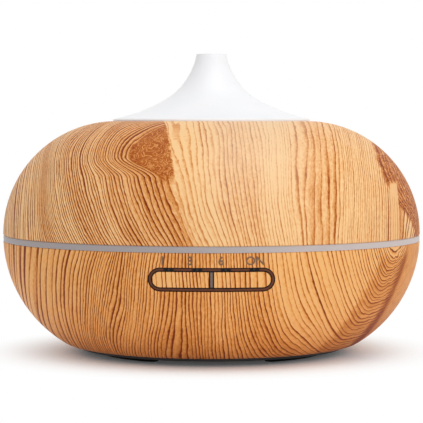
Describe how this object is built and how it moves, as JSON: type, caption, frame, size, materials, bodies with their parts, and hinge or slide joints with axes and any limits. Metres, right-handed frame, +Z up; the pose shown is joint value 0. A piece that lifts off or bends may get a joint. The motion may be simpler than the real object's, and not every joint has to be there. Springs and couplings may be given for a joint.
{
  "type": "essential oil diffuser",
  "caption": "Ultrasonic essential oil diffuser: wood-look shells, trumpet mist spout, light ring at the seam, lift-off cover, water tank, push buttons, fan and power inlet.",
  "frame": {"origin": "on the table, under the middle of the turned body, at the feet's soles", "axes": "+Z up along the axis of the turned body; the button panel faces -Y and the power inlet +Y"},
  "size_m": [0.168, 0.168, 0.12],
  "materials": {
    "wood_grain": "wood-grain film under a satin lacquer",
    "frosted_ring": "frosted translucent grey",
    "spout_plastic": "satin white, slightly translucent",
    "white_plastic": "satin white",
    "smoked_plastic": "dark smoked, polished",
    "black_plastic": "black, fine matt texture",
    "black_rubber": "black rubber",
    "silicone": "soft grey-white silicone",
    "foam": "closed-cell foam, stood in by rubber",
    "circuit_board": "green solder mask",
    "lamp_plastic": "moulded lamp with a pale lens",
    "clear_plastic": "clear light pipe",
    "piezo_metal": "silvered ceramic, stood in by steel",
    "steel": "zinc-plated steel",
    "copper_winding": "enamelled copper, stood in by brass",
    "aluminium": "plain aluminium"
  },
  "bodies": {
    "base": {"lower_shell": "wood_grain", "light_ring": "frosted_ring", "water_tank": "white_plastic", "tank_seal": "silicone", "led_board": "circuit_board", "led_lamps": "lamp_plastic", "transducer_disc": "piezo_metal", "transducer_seal": "silicone", "transducer_clamp": "steel", "clamp_screws": "steel", "level_probe": "steel", "base_plate": "black_plastic", "base_screws": "steel", "foot_front_right": "black_rubber", "foot_front_left": "black_rubber", "foot_rear_right": "black_rubber", "foot_rear_left": "black_rubber", "power_jack": "black_plastic", "fan_frame": "black_plastic", "fan_stator": "copper_winding", "fan_seal": "foam", "button_bezel": "smoked_plastic", "mist_switch": "black_plastic", "light_switch": "black_plastic", "switch_board": "circuit_board", "switch_screws": "steel", "indicator_pipes": "clear_plastic", "driver_board": "circuit_board", "driver_screws": "steel", "choke_coil": "black_plastic", "heat_sink": "aluminium", "capacitors": "aluminium", "driver_chip": "black_plastic", "wire_sockets": "white_plastic"},
    "cover": {"top_shell": "wood_grain", "mist_spout": "spout_plastic", "cover_liner": "white_plastic", "mist_guide": "white_plastic", "guide_screws": "steel"},
    "mist_button": {"mist_button": "wood_grain", "mist_plunger": "black_plastic"},
    "light_button": {"light_button": "wood_grain", "light_plunger": "black_plastic"},
    "fan_rotor": {"fan_rotor": "black_plastic"}
  },
  "joints": [
    {"name": "cover_lift", "type": "slide", "parent": "base", "child": "cover", "axis": [0, 0, 1], "range_m": [0, 0.08]},
    {"name": "mist_button_press", "type": "slide", "parent": "base", "child": "mist_button", "axis": [0, 1, 0], "range_m": [0, 0.0005], "stiffness_N_per_m": 500, "springref_m": -0.0004},
    {"name": "light_button_press", "type": "slide", "parent": "base", "child": "light_button", "axis": [0, 1, 0], "range_m": [0, 0.0005], "stiffness_N_per_m": 500, "springref_m": -0.0004},
    {"name": "fan_spin", "type": "hinge", "parent": "base", "child": "fan_rotor", "pos_m": [0.03602, 0, 0.0108], "axis": [0, 0, 1], "continuous": true}
  ]
}
